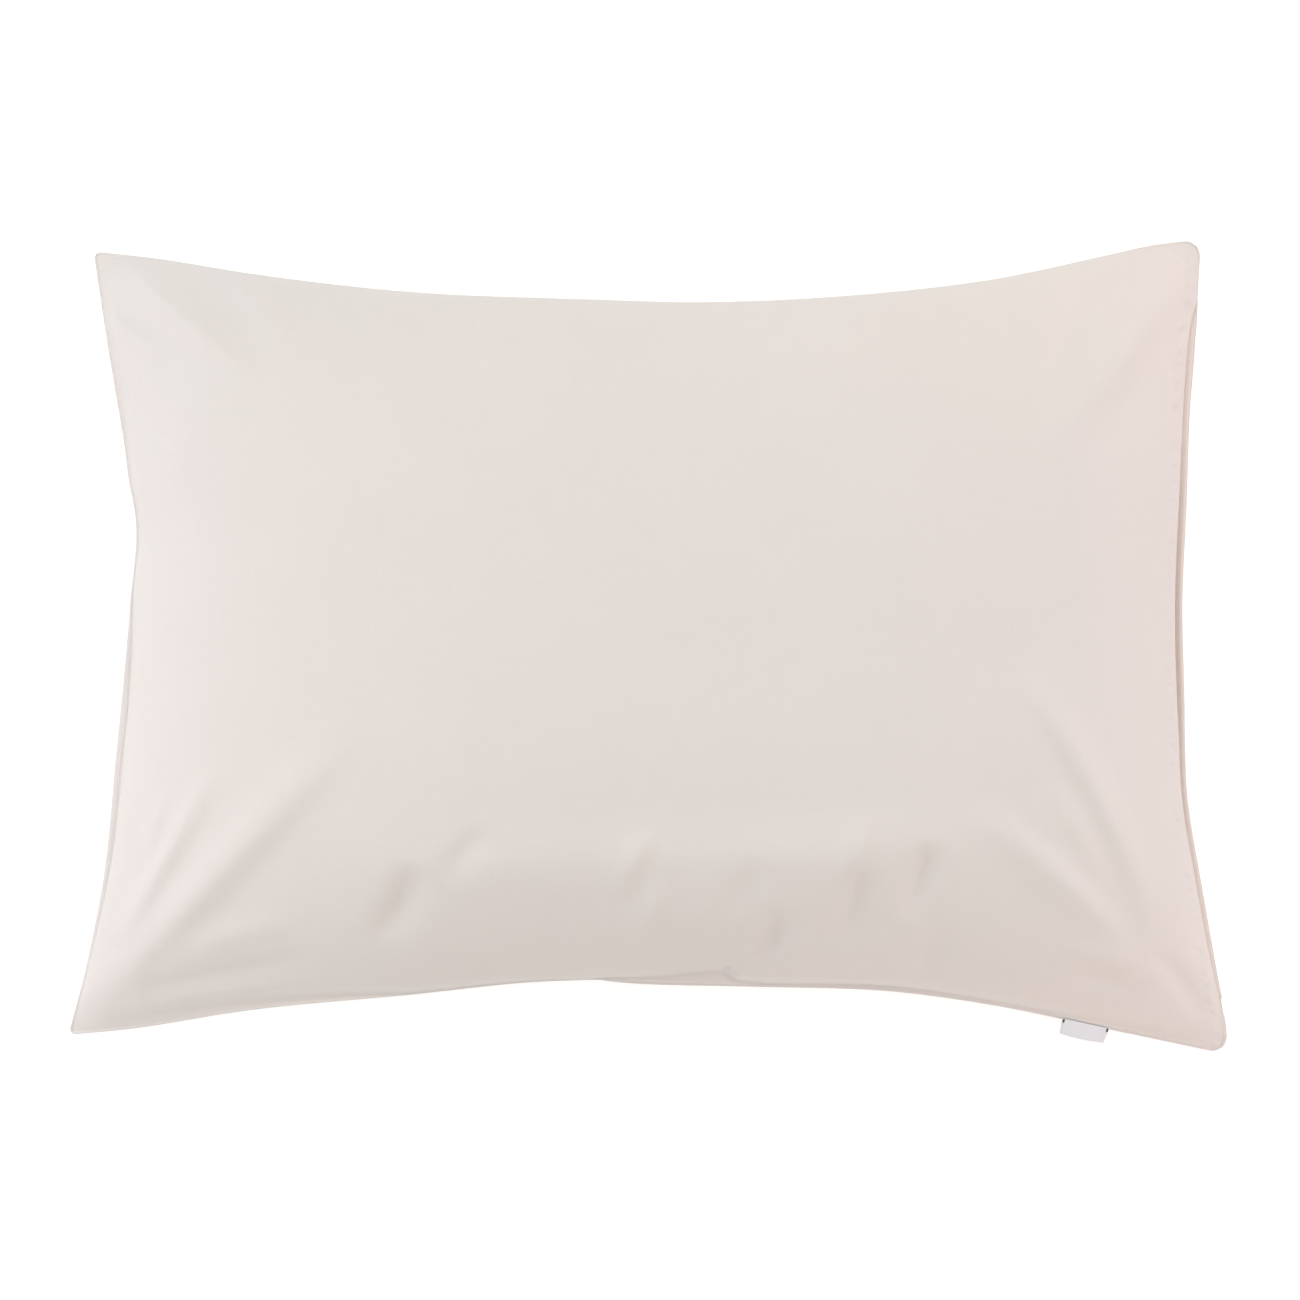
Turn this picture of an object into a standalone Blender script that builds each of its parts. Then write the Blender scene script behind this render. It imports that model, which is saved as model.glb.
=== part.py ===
"""A plain cotton pillowcase on its pillow, lying on its back.

Metres, +Z up.  The origin is the middle of the outline, at the level of the
surface that the pillow rests on.  +X points to the open end of the case, and
+Y to its upper long side.

Three sewn pieces: the filled case, whose front and back panels are joined
round three sides, the back panel's hem, which stands out under the front
panel's edge at the open end, and a folded side label in the lower seam.
"""

import math
from collections import namedtuple

import bmesh
import bpy
import numpy as np
from mathutils import Vector

# ---------------------------------------------------------------- dimensions

CROWN_TOP = 0.145          # highest point of the front panel
SEAM_HEIGHT = 0.062        # height of the side seams, half way along a side
BELLY_DEPTH = 0.075        # how far the back panel would hang without a floor
FLOOR_BLEND = 0.005        # softness of the line where the back lies flat

SEAM_THICKNESS = 0.0026    # the panels' turned edges in a sewn seam
MOUTH_THICKNESS = 0.0045   # the same at the open end, with the slot in it
MOUTH_SPREAD = 0.14        # share of the half length over which the rim thickens
SLOT_THICKNESS = 0.0021    # room for the back hem under the front panel
SLOT_DEPTH = 0.020         # how far that room reaches in under the front
SLOT_REACH = 0.87          # share of the open end that it runs along

HEM_THICKNESS = 0.0015     # the back panel's doubled hem
HEM_INSET = 0.018          # how far the hem reaches in under the front
HEM_NOSE = 0.0009          # length of the rounded outer fold of the hem
HEM_NOSE_STEPS = 3
HEM_END_GAP = 0.0012       # clearance at both ends of the slot

LABEL_WIDTH = 0.0285       # along the seam
LABEL_LENGTH = 0.0108      # from the seam to the label's fold
LABEL_GAP = 0.0007         # between the seam and the label's sewn end
LABEL_FOLD_RADIUS = 0.0006
LABEL_THICKNESS = 0.0005   # one layer of the woven tape
LABEL_CENTRE_X = 0.2650
LABEL_DROOP = math.radians(34.0)
LABEL_COLUMNS = 6
LABEL_ROWS = 26

# Rows and columns of the panels' grid
COLUMNS = 58
ROWS = 42
EDGE_CROWDING = 0.60       # 0 spaces the grid evenly, 1 crowds it at the edges
ON_RIM = 0.9999            # panel coordinates past this lie on the rim
RIM_ROUNDING = 0.0006      # how far the rim's outer lines are drawn in

# How square the filled shape is across its length and its height
LENGTH_SQUARENESS = 4.0
HEIGHT_SQUARENESS = 3.0
EDGE_FULLNESS = 0.56       # lower values are blunter at the seams
EAR_THINNESS = 0.35        # added to it towards the corners
EAR_SPREAD = 4             # higher values keep the thin ears smaller

# The four sides of the outline.  Each runs from one corner tip to the next,
# to the right or upwards, and is a smooth curve through these points.
Point = namedtuple("Point", "x y")

LOWER_SIDE = (
    Point(-0.3505, -0.2338),
    Point(-0.3190, -0.2322),
    Point(-0.2400, -0.2194),
    Point(-0.1500, -0.2109),
    Point(-0.0345, -0.2020),
    Point(0.0620, -0.2055),
    Point(0.1530, -0.2086),
    Point(0.2140, -0.2176),
    Point(0.2806, -0.2318),
    Point(0.3515, -0.2470),
)
UPPER_SIDE = (
    Point(-0.3355, 0.2390),
    Point(-0.3010, 0.2365),
    Point(-0.2400, 0.2268),
    Point(-0.1500, 0.2156),
    Point(-0.0345, 0.2104),
    Point(0.0260, 0.2087),
    Point(0.1230, 0.2128),
    Point(0.2140, 0.2236),
    Point(0.2806, 0.2382),
    Point(0.3365, 0.2470),
)
CLOSED_SIDE = (
    Point(-0.3505, -0.2338),
    Point(-0.3394, -0.1900),
    Point(-0.3297, -0.1412),
    Point(-0.3218, -0.0685),
    Point(-0.3127, 0.0285),
    Point(-0.3097, 0.0800),
    Point(-0.3170, 0.1255),
    Point(-0.3285, 0.1921),
    Point(-0.3355, 0.2390),
)
OPEN_SIDE = (
    Point(0.3515, -0.2470),
    Point(0.3424, -0.2018),
    Point(0.3333, -0.1412),
    Point(0.3218, -0.0503),
    Point(0.3197, 0.0164),
    Point(0.3236, 0.1012),
    Point(0.3309, 0.1921),
    Point(0.3365, 0.2470),
)

# How far the back panel's hem stands out past the front panel's edge, by the
# distance along the open end (0 at the lower corner, 1 at the upper one)
Stand = namedtuple("Stand", "along proud")
HEM_STANDS = (
    Stand(0.00, 0.0012),
    Stand(0.12, 0.0020),
    Stand(0.28, 0.0022),
    Stand(0.44, 0.0044),
    Stand(0.56, 0.0040),
    Stand(0.72, 0.0031),
    Stand(0.88, 0.0014),
    Stand(1.00, 0.0008),
)

# The corner ears hang a little lower than the seams between them, and their
# tips are round.  Side -1 is left or lower, and side 1 is right or upper.
Ear = namedtuple("Ear", "side_x side_y drop tip_radius")
EARS = (
    Ear(-1, -1, 0.026, 0.006),
    Ear(1, -1, 0.021, 0.012),
    Ear(1, 1, 0.014, 0.014),
    Ear(-1, 1, 0.018, 0.006),
)
EAR_SHORTNESS = 3          # higher values keep the droop nearer to the tips
HALF_LENGTH = (OPEN_SIDE[0].x - CLOSED_SIDE[0].x) / 2.0
HALF_HEIGHT = (UPPER_SIDE[0].y - LOWER_SIDE[0].y) / 2.0

# Main folds.  A fold runs from its start to its end on a line bowed to its
# left, and is a ridge where its height is positive, else a trough.
Fold = namedtuple("Fold", "start_x start_y end_x end_y bow width height")
FRONT_FOLDS = (
    # lower corner of the closed end
    Fold(-0.349, -0.231, -0.165, -0.048, 0.014, 0.0125, 0.0105),
    Fold(-0.330, -0.226, -0.145, -0.044, 0.004, 0.0140, -0.0110),
    Fold(-0.326, -0.188, -0.246, -0.050, 0.004, 0.0110, 0.0060),
    Fold(-0.316, -0.184, -0.236, -0.062, 0.002, 0.0095, -0.0060),
    Fold(-0.296, -0.204, -0.212, -0.188, 0.000, 0.0110, -0.0050),
    # upper corner of the closed end
    Fold(-0.333, 0.237, -0.236, 0.156, 0.004, 0.0120, 0.0085),
    Fold(-0.296, 0.226, -0.226, 0.160, 0.000, 0.0110, -0.0070),
    Fold(-0.332, 0.210, -0.276, 0.140, 0.004, 0.0100, -0.0070),
    Fold(-0.326, 0.174, -0.280, 0.116, 0.000, 0.0100, -0.0060),
    # upper corner of the open end
    Fold(0.334, 0.242, 0.246, 0.108, -0.006, 0.0170, 0.0100),
    Fold(0.334, 0.222, 0.252, 0.104, 0.004, 0.0130, -0.0095),
    # lower corner of the open end
    Fold(0.347, -0.238, 0.205, -0.008, 0.002, 0.0140, -0.0110),
    Fold(0.322, -0.216, 0.176, -0.086, 0.002, 0.0160, 0.0075),
    Fold(0.342, -0.222, 0.284, -0.036, 0.002, 0.0130, 0.0070),
)
BACK_FOLDS = (
    Fold(-0.340, -0.222, -0.240, -0.140, 0.004, 0.011, 0.0050),
    Fold(-0.328, -0.200, -0.250, -0.120, 0.004, 0.010, -0.0045),
    Fold(-0.326, 0.230, -0.235, 0.150, 0.002, 0.012, 0.0050),
    Fold(-0.300, 0.226, -0.215, 0.160, 0.002, 0.010, -0.0040),
    Fold(0.326, 0.234, 0.240, 0.150, 0.002, 0.012, -0.0050),
    Fold(0.340, -0.234, 0.245, -0.145, 0.002, 0.012, -0.0050),
)
FOLD_FADE = 0.022          # a fold grows from nothing over this far from a seam
FOLD_LEAN = 0.7            # below 1, a fold is highest nearer to its start

# sRGB colours, roughness and sheen of the cloths
COTTON_COLOUR = (0.925, 0.880, 0.850)
HEM_COLOUR = (0.870, 0.845, 0.825)
LABEL_COLOUR = (0.930, 0.935, 0.945)
COTTON_ROUGHNESS = 0.88
LABEL_ROUGHNESS = 0.55


# ------------------------------------------------------------- curves, shape

def smooth_curve(points):
    """Return a function of 0..1 for the smooth curve through the points."""
    knots = np.array(points, dtype=float)
    steps = np.linalg.norm(np.diff(knots, axis=0), axis=1)
    along = np.concatenate(([0.0], np.cumsum(steps))) / steps.sum()
    slopes = np.gradient(knots, along, axis=0)

    def point_at(share):
        span = int(np.searchsorted(along, share, side="right")) - 1
        span = min(max(span, 0), len(along) - 2)
        length = along[span + 1] - along[span]
        t = (share - along[span]) / length
        rise = t * t * (3.0 - 2.0 * t)
        leave = t * (1.0 - t) ** 2 * length
        arrive = -t * t * (1.0 - t) * length
        return (knots[span] * (1.0 - rise) + knots[span + 1] * rise
                + slopes[span] * leave + slopes[span + 1] * arrive)

    return point_at


lower_side = smooth_curve(LOWER_SIDE)
upper_side = smooth_curve(UPPER_SIDE)
closed_side = smooth_curve(CLOSED_SIDE)
open_side = smooth_curve(OPEN_SIDE)


def rounded(u, v):
    """Draw panel coordinates in at the four tips, to their round outlines."""
    for ear in EARS:
        radius_u = ear.tip_radius / HALF_LENGTH
        radius_v = ear.tip_radius / HALF_HEIGHT
        in_u = 1.0 - (1.0 - u * ear.side_x) / radius_u
        in_v = 1.0 - (1.0 - v * ear.side_y) / radius_v
        if in_u > 0.0 and in_v > 0.0:
            drawn_u = in_u * math.sqrt(1.0 - in_v * in_v / 2.0)
            drawn_v = in_v * math.sqrt(1.0 - in_u * in_u / 2.0)
            u = (1.0 - (1.0 - drawn_u) * radius_u) * ear.side_x
            v = (1.0 - (1.0 - drawn_v) * radius_v) * ear.side_y
    return u, v


def outline_point(u, v):
    """Place panel coordinates, both -1..1, inside the four curved sides."""
    u, v = rounded(u, v)
    a = (u + 1.0) / 2.0
    b = (v + 1.0) / 2.0
    between_long_sides = lower_side(a) * (1.0 - b) + upper_side(a) * b
    between_ends = closed_side(b) * (1.0 - a) + open_side(b) * a
    corners = (lower_side(0.0) * (1.0 - a) * (1.0 - b) + lower_side(1.0) * a * (1.0 - b)
               + upper_side(0.0) * (1.0 - a) * b + upper_side(1.0) * a * b)
    return between_long_sides + between_ends - corners


def seam_height(u, v):
    """Height of the plane of the seams, which falls towards the ears."""
    height = SEAM_HEIGHT
    for ear in EARS:
        reach_x = max(u * ear.side_x, 0.0)
        reach_y = max(v * ear.side_y, 0.0)
        height -= ear.drop * (reach_x * reach_y) ** EAR_SHORTNESS
    return height


def fullness(u, v):
    """Share of the crown's height: 1 in the middle, 0 at the seams."""
    across_length = max(1.0 - abs(u) ** LENGTH_SQUARENESS, 0.0)
    across_height = max(1.0 - abs(v) ** HEIGHT_SQUARENESS, 0.0)
    exponent = EDGE_FULLNESS + EAR_THINNESS * (u * v) ** EAR_SPREAD
    return (across_length * across_height) ** exponent


def fold_height(folds, x, y):
    """Sum of the ridges and troughs at a place."""
    total = 0.0
    for fold in folds:
        run_x = fold.end_x - fold.start_x
        run_y = fold.end_y - fold.start_y
        run = math.hypot(run_x, run_y)
        along = ((x - fold.start_x) * run_x + (y - fold.start_y) * run_y) / run ** 2
        if not 0.0 < along < 1.0:
            continue
        left = ((y - fold.start_y) * run_x - (x - fold.start_x) * run_y) / run
        across = (left - fold.bow * 4.0 * along * (1.0 - along)) / fold.width
        total += fold.height * math.sin(math.pi * along ** FOLD_LEAN) * math.exp(-across * across)
    return total


def edge_distance(u, v):
    """Rough distance in metres from the nearest seam."""
    return min((1.0 - abs(u)) * HALF_LENGTH, (1.0 - abs(v)) * HALF_HEIGHT)


def fold_share(u, v):
    """Folds start from nothing at a seam."""
    share = min(edge_distance(u, v) / FOLD_FADE, 1.0)
    return share * share * (3.0 - 2.0 * share)


def soft_floor(height):
    """Keep a height at or above the floor, with a soft turn onto it."""
    if height >= FLOOR_BLEND:
        return height
    if height <= -FLOOR_BLEND:
        return 0.0
    return (height + FLOOR_BLEND) ** 2 / (4.0 * FLOOR_BLEND)


def edge_thickness(u):
    """The rim is thicker at the open end, where it holds the slot."""
    share = max(1.0 - (1.0 - u) / MOUTH_SPREAD, 0.0)
    return SEAM_THICKNESS + (MOUTH_THICKNESS - SEAM_THICKNESS) * share


def front_height(u, v):
    """Height of the front panel's outer face."""
    x, y = outline_point(u, v)
    rim = seam_height(u, v) + edge_thickness(u) / 2.0
    crown = CROWN_TOP - SEAM_HEIGHT - SEAM_THICKNESS / 2.0
    folds = fold_height(FRONT_FOLDS, x, y) * fold_share(u, v)
    return rim + crown * fullness(u, v) + folds


def back_height(u, v):
    """Height of the back panel's outer face, flat where it rests."""
    x, y = outline_point(u, v)
    rim = seam_height(u, v) - edge_thickness(u) / 2.0
    folds = fold_height(BACK_FOLDS, x, y) * fold_share(u, v)
    return soft_floor(rim - BELLY_DEPTH * fullness(u, v) + folds)


def crowded(share):
    """Move an even spacing of -1..1 towards both ends."""
    bunched = math.sin(share * math.pi / 2.0)
    return share * (1.0 - EDGE_CROWDING) + bunched * EDGE_CROWDING


# ------------------------------------------------------------ Blender helpers

def clear_scene():
    """Remove whatever the scene holds."""
    for thing in list(bpy.data.objects):
        bpy.data.objects.remove(thing, do_unlink=True)


def linear(colour):
    """Turn an sRGB colour into the linear one that a shader takes."""
    channels = [c / 12.92 if c <= 0.04045 else ((c + 0.055) / 1.055) ** 2.4 for c in colour]
    return (*channels, 1.0)


def cloth_material(name, colour, roughness):
    """A Principled material for one cloth."""
    material = bpy.data.materials.new(name)
    material.use_nodes = True
    shader = material.node_tree.nodes["Principled BSDF"]
    shader.inputs["Base Color"].default_value = linear(colour)
    shader.inputs["Roughness"].default_value = roughness
    shader.inputs["Metallic"].default_value = 0.0
    shader.inputs["Sheen Weight"].default_value = 0.15
    return material


def add_piece(bm, name, material, collection):
    """Make a named object of a finished bmesh."""
    bmesh.ops.recalc_face_normals(bm, faces=bm.faces[:])
    mesh = bpy.data.meshes.new(name)
    bm.to_mesh(mesh)
    bm.free()
    mesh.shade_smooth()
    mesh.materials.append(material)
    piece = bpy.data.objects.new(name, mesh)
    collection.objects.link(piece)
    return piece


# -------------------------------------------------------------------- pieces

def panel_grids():
    """Two panels joined by a rim of three steps, in unit panel coordinates."""
    bm = bmesh.new()
    bmesh.ops.create_grid(bm, x_segments=COLUMNS, y_segments=ROWS, size=1.0)
    split_towards_corners(bm)
    raised = bmesh.ops.extrude_face_region(bm, geom=bm.faces[:])
    front = [item for item in raised["geom"] if isinstance(item, bmesh.types.BMVert)]
    bmesh.ops.translate(bm, verts=front, vec=(0.0, 0.0, 3.0))
    uprights = [edge for edge in bm.edges
                if abs(edge.verts[0].co.z - edge.verts[1].co.z) > 1.0]
    bmesh.ops.subdivide_edges(bm, edges=uprights, cuts=2)
    return bm


def split_towards_corners(bm):
    """Split each square of the grid the way that the folds run, to the corners."""
    rising, falling = [], []
    for square in bm.faces:
        middle = square.calc_center_median()
        quarter = rising if middle.x * middle.y > 0.0 else falling
        quarter.append(square)
    bmesh.ops.triangulate(bm, faces=rising, quad_method="FIXED")
    bmesh.ops.triangulate(bm, faces=falling, quad_method="ALTERNATE")


def rim_point(u, v, level):
    """A point on one of the rim's lines: back, slot floor, slot roof, front."""
    thickness = edge_thickness(u)
    slot = SLOT_THICKNESS if u > ON_RIM else thickness / 3.0
    offsets = (-thickness / 2.0, -slot / 2.0, slot / 2.0, thickness / 2.0)
    if level in (0, 3):
        u *= 1.0 - RIM_ROUNDING / HALF_LENGTH
        v *= 1.0 - RIM_ROUNDING / HALF_HEIGHT
    return (*outline_point(u, v), seam_height(u, v) + offsets[level])


def make_filled_case(collection):
    """The front and back panels, sewn round three sides and filled."""
    bm = panel_grids()
    mouth = []
    for face in bm.faces:
        middle = face.calc_center_median()
        on_open_end = all(vert.co.x > ON_RIM for vert in face.verts)
        if on_open_end and abs(middle.z - 1.5) < 0.1 and abs(crowded(middle.y)) < SLOT_REACH:
            mouth.append(face)
    for vert in bm.verts:
        u, v = crowded(vert.co.x), crowded(vert.co.y)
        level = round(vert.co.z)
        if max(abs(u), abs(v)) > ON_RIM:
            vert.co = rim_point(u, v, level)
        elif level == 3:
            vert.co = (*outline_point(u, v), front_height(u, v))
        else:
            vert.co = (*outline_point(u, v), back_height(u, v))
    sink_slot(bm, mouth)
    cotton = cloth_material("cotton", COTTON_COLOUR, COTTON_ROUGHNESS)
    return add_piece(bm, "filled_case", cotton, collection)


def sink_slot(bm, mouth):
    """Sink the middle of the open end's rim, which leaves the front's lip."""
    sunk = bmesh.ops.extrude_face_region(bm, geom=mouth)
    inner = [item for item in sunk["geom"] if isinstance(item, bmesh.types.BMVert)]
    bmesh.ops.delete(bm, geom=mouth, context="FACES")
    bmesh.ops.translate(bm, verts=inner, vec=(-SLOT_DEPTH, 0.0, 0.0))


def hem_lines():
    """Panel coordinates of the grid's lines in the slot, clear of its ends."""
    evenly = [2.0 * row / ROWS - 1.0 for row in range(ROWS + 1)]
    middles = [(low + high) / 2.0 for low, high in zip(evenly, evenly[1:])]
    cells = [index for index, middle in enumerate(middles)
             if abs(crowded(middle)) < SLOT_REACH]
    lines = [crowded(share) for share in evenly[cells[0]:cells[-1] + 2]]
    lines[0] += HEM_END_GAP / HALF_HEIGHT
    lines[-1] -= HEM_END_GAP / HALF_HEIGHT
    return lines


def hem_section(proud):
    """Columns across the hem: distance past the front's edge, half thickness."""
    columns = [(-HEM_INSET, HEM_THICKNESS / 2.0), (-HEM_INSET / 2.0, HEM_THICKNESS / 2.0)]
    for step in range(HEM_NOSE_STEPS + 1):
        turn = math.pi / 2.0 * step / (HEM_NOSE_STEPS + 0.5)
        columns.append((proud - HEM_NOSE * (1.0 - math.sin(turn)),
                        HEM_THICKNESS / 2.0 * math.cos(turn)))
    return columns


def make_back_hem(collection):
    """The back panel's hem, which stands out under the front panel's edge."""
    lines = hem_lines()
    stand = smooth_curve(HEM_STANDS)
    gaps = len(hem_section(0.0)) - 1
    bm = bmesh.new()
    bmesh.ops.create_grid(bm, x_segments=gaps, y_segments=len(lines) - 1, size=1.0)
    raised = bmesh.ops.extrude_face_region(bm, geom=bm.faces[:])
    upper = [item for item in raised["geom"] if isinstance(item, bmesh.types.BMVert)]
    bmesh.ops.translate(bm, verts=upper, vec=(0.0, 0.0, 1.0))
    for vert in bm.verts:
        v = lines[round((vert.co.y + 1.0) / 2.0 * (len(lines) - 1))]
        x, y = outline_point(1.0, v)
        proud = stand((v + 1.0) / 2.0)[1]
        past, half = hem_section(proud)[round((vert.co.x + 1.0) / 2.0 * gaps)]
        side = 1.0 if vert.co.z > 0.5 else -1.0
        vert.co = (x + past, y, seam_height(1.0, v) + side * half)
    hem_cotton = cloth_material("hem_cotton", HEM_COLOUR, COTTON_ROUGHNESS)
    return add_piece(bm, "back_hem", hem_cotton, collection)


def label_axes():
    """Where the label is sewn in, and its ways along the seam, out and up."""
    length = LOWER_SIDE[-1].x - LOWER_SIDE[0].x
    u_left = 2.0 * (LABEL_CENTRE_X - LABEL_WIDTH / 2.0 - LOWER_SIDE[0].x) / length - 1.0
    u_right = u_left + 2.0 * LABEL_WIDTH / length
    left = Vector((*outline_point(u_left, -1.0), seam_height(u_left, -1.0)))
    right = Vector((*outline_point(u_right, -1.0), seam_height(u_right, -1.0)))
    seam_way = (right - left).normalized()
    flat_way = Vector((seam_way.y, -seam_way.x, 0.0)).normalized()
    down = Vector((0.0, 0.0, -1.0))
    out_way = flat_way * math.cos(LABEL_DROOP) + down * math.sin(LABEL_DROOP)
    up_way = out_way.cross(seam_way)
    root = (left + right) / 2.0 + flat_way * LABEL_GAP
    return root, seam_way, out_way, up_way


def folded_tape(travel):
    """How far out and up a tape folded in half lies, by the way along it."""
    straight = LABEL_LENGTH - LABEL_FOLD_RADIUS
    bend = math.pi * LABEL_FOLD_RADIUS
    whole = 2.0 * straight + bend
    way = travel * whole
    if way < straight:
        return way, LABEL_FOLD_RADIUS
    if way > straight + bend:
        return whole - way, -LABEL_FOLD_RADIUS
    turn = (way - straight) / LABEL_FOLD_RADIUS
    return straight + LABEL_FOLD_RADIUS * math.sin(turn), LABEL_FOLD_RADIUS * math.cos(turn)


def make_label(collection):
    """A woven tape folded in half, its two ends sewn into the lower seam."""
    root, seam_way, out_way, up_way = label_axes()
    bm = bmesh.new()
    bmesh.ops.create_grid(bm, x_segments=LABEL_COLUMNS, y_segments=LABEL_ROWS, size=0.5)
    for vert in bm.verts:
        out, up = folded_tape(vert.co.y + 0.5)
        vert.co = root + seam_way * vert.co.x * LABEL_WIDTH + out_way * out + up_way * up
    tape = cloth_material("label_tape", LABEL_COLOUR, LABEL_ROUGHNESS)
    label = add_piece(bm, "side_label", tape, collection)
    wall = label.modifiers.new("Tape thickness", "SOLIDIFY")
    wall.thickness = LABEL_THICKNESS
    wall.offset = 0.0
    return label


def main():
    clear_scene()
    collection = bpy.data.collections.new("pillowcase")
    bpy.context.scene.collection.children.link(collection)
    make_filled_case(collection)
    make_back_hem(collection)
    make_label(collection)


main()
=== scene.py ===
"""Looks of the filled pillowcase: fine cloth surfaces, seams, label, light and camera.

Metres, +Z up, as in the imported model.  +X points to the open end of the case,
+Y to its upper long side, and the case lies on its back at the origin.
"""

import math
from collections import namedtuple

import bmesh
import bpy
import numpy as np
from mathutils import Matrix, Vector


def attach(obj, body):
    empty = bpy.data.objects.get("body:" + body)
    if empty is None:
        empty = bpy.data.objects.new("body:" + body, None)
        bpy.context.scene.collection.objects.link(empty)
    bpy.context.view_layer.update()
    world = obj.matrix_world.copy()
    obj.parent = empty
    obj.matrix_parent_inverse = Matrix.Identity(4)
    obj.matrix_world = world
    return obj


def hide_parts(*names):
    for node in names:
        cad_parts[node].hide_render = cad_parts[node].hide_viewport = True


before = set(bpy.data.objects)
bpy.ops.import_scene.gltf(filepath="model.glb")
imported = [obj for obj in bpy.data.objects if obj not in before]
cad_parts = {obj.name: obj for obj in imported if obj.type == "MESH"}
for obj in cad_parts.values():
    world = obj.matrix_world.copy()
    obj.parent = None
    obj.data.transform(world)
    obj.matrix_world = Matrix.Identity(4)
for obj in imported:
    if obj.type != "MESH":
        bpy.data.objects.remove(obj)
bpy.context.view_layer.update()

# ------------------------------------------------------------ sizes of the case
# The values down to EAR_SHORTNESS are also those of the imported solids.

CROWN_TOP = 0.145          # highest point of the front panel
SEAM_HEIGHT = 0.062        # height of the side seams, half way along a side
BELLY_DEPTH = 0.075        # how far the back panel would hang without a floor
FLOOR_BLEND = 0.005        # softness of the line where the back lies flat
SEAM_THICKNESS = 0.0026    # the panels' turned edges in a sewn seam
LENGTH_SQUARENESS = 4.0    # higher values keep the crown level nearer to the ends
HEIGHT_SQUARENESS = 3.0    # the same, towards the long sides
EDGE_FULLNESS = 0.56       # lower values are blunter at the seams
EAR_THINNESS = 0.35        # added to it towards the corners
EAR_SPREAD = 4             # higher values keep the thin ears smaller
EAR_SHORTNESS = 3          # higher values keep the ears' droop nearer to the tips

# The four sides of the outline, which reach up to 5 mm further out at the corners
# than those of the solids.  Each runs from one corner tip to the next, to the
# right or upwards, and is a smooth curve through these points.
Point = namedtuple("Point", "x y")
LOWER_SIDE = (
    Point(-0.3540, -0.2372),
    Point(-0.3190, -0.2334),
    Point(-0.2400, -0.2204),
    Point(-0.1500, -0.2113),
    Point(-0.0375, -0.2021),
    Point(0.0000, -0.2043),
    Point(0.0620, -0.2058),
    Point(0.1530, -0.2093),
    Point(0.2140, -0.2182),
    Point(0.2806, -0.2326),
    Point(0.3542, -0.2488),
)
UPPER_SIDE = (
    Point(-0.3378, 0.2415),
    Point(-0.3010, 0.2370),
    Point(-0.2400, 0.2266),
    Point(-0.1500, 0.2156),
    Point(-0.0345, 0.2104),
    Point(0.0260, 0.2087),
    Point(0.1230, 0.2128),
    Point(0.2140, 0.2236),
    Point(0.2806, 0.2384),
    Point(0.3058, 0.2442),
    Point(0.3372, 0.2484),
)
CLOSED_SIDE = (
    Point(-0.3540, -0.2372),
    Point(-0.3408, -0.1900),
    Point(-0.3302, -0.1412),
    Point(-0.3221, -0.0685),
    Point(-0.3130, 0.0285),
    Point(-0.3099, 0.0800),
    Point(-0.3142, 0.1010),
    Point(-0.3178, 0.1255),
    Point(-0.3294, 0.1921),
    Point(-0.3378, 0.2415),
)
OPEN_SIDE = (
    Point(0.3542, -0.2488),
    Point(0.3497, -0.2200),
    Point(0.3450, -0.2018),
    Point(0.3324, -0.1412),
    Point(0.3240, -0.0927),
    Point(0.3216, -0.0503),
    Point(0.3195, 0.0164),
    Point(0.3227, 0.1012),
    Point(0.3271, 0.1720),
    Point(0.3293, 0.1910),
    Point(0.3312, 0.2010),
    Point(0.3342, 0.2110),
    Point(0.3350, 0.2200),
    Point(0.3372, 0.2484),
)
HALF_LENGTH = (OPEN_SIDE[0].x - CLOSED_SIDE[0].x) / 2.0
HALF_HEIGHT = (UPPER_SIDE[0].y - LOWER_SIDE[0].y) / 2.0

# Ears droop below the seams between them, and their tips are round.  Side -1 is
# left or lower, and side 1 is right or upper.
Ear = namedtuple("Ear", "side_x side_y drop tip_radius")
EARS = (
    Ear(-1, -1, 0.026, 0.005),
    Ear(1, -1, 0.021, 0.011),
    Ear(1, 1, 0.014, 0.011),
    Ear(-1, 1, 0.018, 0.005),
)

# How far the back panel's hem stands out past the front panel's edge, and how
# far it dips under that edge, along the open end from its lower corner
Stand = namedtuple("Stand", "along proud dip")
HEM_STANDS = (
    Stand(0.00, 0.0006, 0.0000),
    Stand(0.10, 0.0034, 0.0012),
    Stand(0.27, 0.0046, 0.0030),
    Stand(0.37, 0.0047, 0.0048),
    Stand(0.46, 0.0058, 0.0062),
    Stand(0.56, 0.0056, 0.0058),
    Stand(0.66, 0.0060, 0.0042),
    Stand(0.77, 0.0053, 0.0022),
    Stand(0.87, 0.0052, 0.0016),
    Stand(0.90, 0.0042, 0.0010),
    Stand(0.93, 0.0008, 0.0000),
    Stand(1.00, 0.0004, 0.0000),
)

# ------------------------------------------------------- sizes of the fine cloth

COLUMNS = 236
ROWS = 168
EDGE_CROWDING = 0.60       # 0 spaces the grid evenly, 1 crowds it at the edges
ON_RIM = 0.9999            # panel coordinates past this lie on the rim
SMALL_STEP = 1e-4          # in panel coordinates, to find which way a side runs
TINY = 1e-9                # least length to divide by
FOLD_FADE = 0.007          # a fold grows from nothing over this far from a seam

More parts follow.
